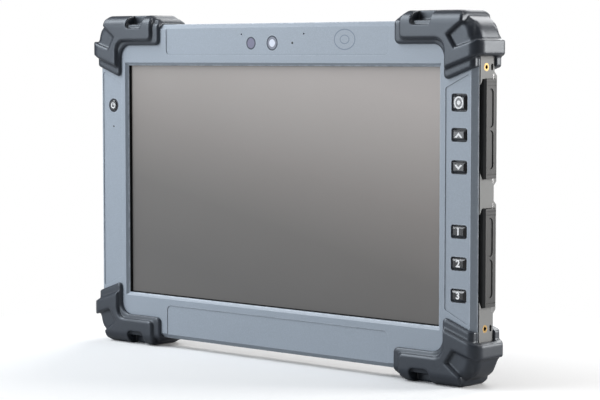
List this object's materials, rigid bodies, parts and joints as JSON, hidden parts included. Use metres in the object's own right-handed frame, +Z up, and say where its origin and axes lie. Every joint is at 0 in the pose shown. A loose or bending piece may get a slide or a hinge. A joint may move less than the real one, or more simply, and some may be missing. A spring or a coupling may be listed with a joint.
{
  "type": "rugged tablet data collector",
  "caption": "Rugged field tablet: touch display in a cast frame with rubber corner bumpers, function keys, hinged port covers and a latched battery.",
  "frame": {"origin": "middle of the foot, under the lower bumpers", "axes": "+X to the right of the screen, +Y out of the back, +Z up; the screen faces -Y"},
  "size_m": [0.2804, 0.0244, 0.1878],
  "materials": {
    "bezel_paint": "satin powder coat",
    "cast_alloy": "bead-blasted",
    "housing_paint": "fine texture",
    "bumper_rubber": "moulded, matt",
    "soft_rubber": "matt",
    "cover_glass": "anti-glare",
    "lcd": "dark panel in a steel tray",
    "black_plastic": "matt",
    "cover_plastic": "fine spark texture",
    "key_plastic": "satin",
    "circuit_board": "solder mask",
    "chip": "moulded epoxy",
    "steel": "plain",
    "dark_steel": "black oxide",
    "brass": "turned",
    "window": "coated",
    "light_guide": "clear",
    "copper": "plain copper",
    "battery_plastic": "fine texture",
    "flex": "polyimide film"
  },
  "bodies": {
    "tablet": {"front_bezel": "bezel_paint", "display_gasket": "soft_rubber", "touch_glass": "cover_glass", "lcd_panel": "lcd", "housing_seal": "soft_rubber", "mid_frame": "cast_alloy", "rear_housing": "housing_paint", "bumper_top_left": "bumper_rubber", "bumper_top_right": "bumper_rubber", "bumper_bottom_left": "bumper_rubber", "bumper_bottom_right": "bumper_rubber", "keypad_mat": "soft_rubber", "key_board": "circuit_board", "power_board": "circuit_board", "key_switches": "steel", "power_seal": "soft_rubber", "light_pipes": "light_guide", "camera_window": "window", "light_sensor_window": "window", "camera_module": "black_plastic", "sensor_board": "circuit_board", "microphones": "steel", "reader_antenna": "flex", "port_liners": "black_plastic", "hinge_pins": "steel", "side_inserts": "brass", "io_board": "circuit_board", "usb_port": "steel", "usb_c_port": "steel", "audio_jack": "black_plastic", "hdmi_port": "steel", "power_jack": "black_plastic", "main_board": "circuit_board", "processor": "chip", "heat_spreader": "copper", "storage_card": "chip", "antennas": "flex", "rear_camera_module": "black_plastic", "rear_camera_window": "window", "speakers": "black_plastic", "dock_connector": "black_plastic", "battery_pack": "battery_plastic", "battery_connector": "black_plastic", "rear_inserts": "brass", "bumper_screws": "dark_steel", "housing_screws": "dark_steel"},
    "power_button_body": {"power_button": "key_plastic"},
    "home_key_body": {"home_key": "key_plastic"},
    "up_key_body": {"up_key": "key_plastic"},
    "down_key_body": {"down_key": "key_plastic"},
    "function_key_1_body": {"function_key_1": "key_plastic"},
    "function_key_2_body": {"function_key_2": "key_plastic"},
    "function_key_3_body": {"function_key_3": "key_plastic"},
    "upper_cover_body": {"port_cover_upper": "cover_plastic", "port_seal_upper": "soft_rubber"},
    "lower_cover_body": {"port_cover_lower": "cover_plastic", "port_seal_lower": "soft_rubber"},
    "left_latch_body": {"battery_latch_left": "black_plastic"},
    "right_latch_body": {"battery_latch_right": "black_plastic"}
  },
  "joints": [
    {"name": "home_key_press", "type": "slide", "parent": "tablet", "child": "home_key_body", "axis": [0, 1, 0], "range_m": [0, 0.0005], "stiffness_N_per_m": 1500},
    {"name": "up_key_press", "type": "slide", "parent": "tablet", "child": "up_key_body", "axis": [0, 1, 0], "range_m": [0, 0.0005], "stiffness_N_per_m": 1500},
    {"name": "down_key_press", "type": "slide", "parent": "tablet", "child": "down_key_body", "axis": [0, 1, 0], "range_m": [0, 0.0005], "stiffness_N_per_m": 1500},
    {"name": "function_key_1_press", "type": "slide", "parent": "tablet", "child": "function_key_1_body", "axis": [0, 1, 0], "range_m": [0, 0.0005], "stiffness_N_per_m": 1500},
    {"name": "function_key_2_press", "type": "slide", "parent": "tablet", "child": "function_key_2_body", "axis": [0, 1, 0], "range_m": [0, 0.0005], "stiffness_N_per_m": 1500},
    {"name": "function_key_3_press", "type": "slide", "parent": "tablet", "child": "function_key_3_body", "axis": [0, 1, 0], "range_m": [0, 0.0005], "stiffness_N_per_m": 1500},
    {"name": "power_button_press", "type": "slide", "parent": "tablet", "child": "power_button_body", "axis": [0, 1, 0], "range_m": [0, 0.0006], "stiffness_N_per_m": 1500},
    {"name": "upper_cover_hinge", "type": "hinge", "parent": "tablet", "child": "upper_cover_body", "pos_m": [0.1356, 0.006, 0.1289], "axis": [0, 0, 1], "range_deg": [0, 105]},
    {"name": "lower_cover_hinge", "type": "hinge", "parent": "tablet", "child": "lower_cover_body", "pos_m": [0.1356, 0.006, 0.0648], "axis": [0, 0, 1], "range_deg": [0, 105]},
    {"name": "left_latch_slide", "type": "slide", "parent": "tablet", "child": "left_latch_body", "axis": [-1, 0, 0], "range_m": [0, 0.004]},
    {"name": "right_latch_slide", "type": "slide", "parent": "tablet", "child": "right_latch_body", "axis": [1, 0, 0], "range_m": [0, 0.004], "stiffness_N_per_m": 300}
  ]
}
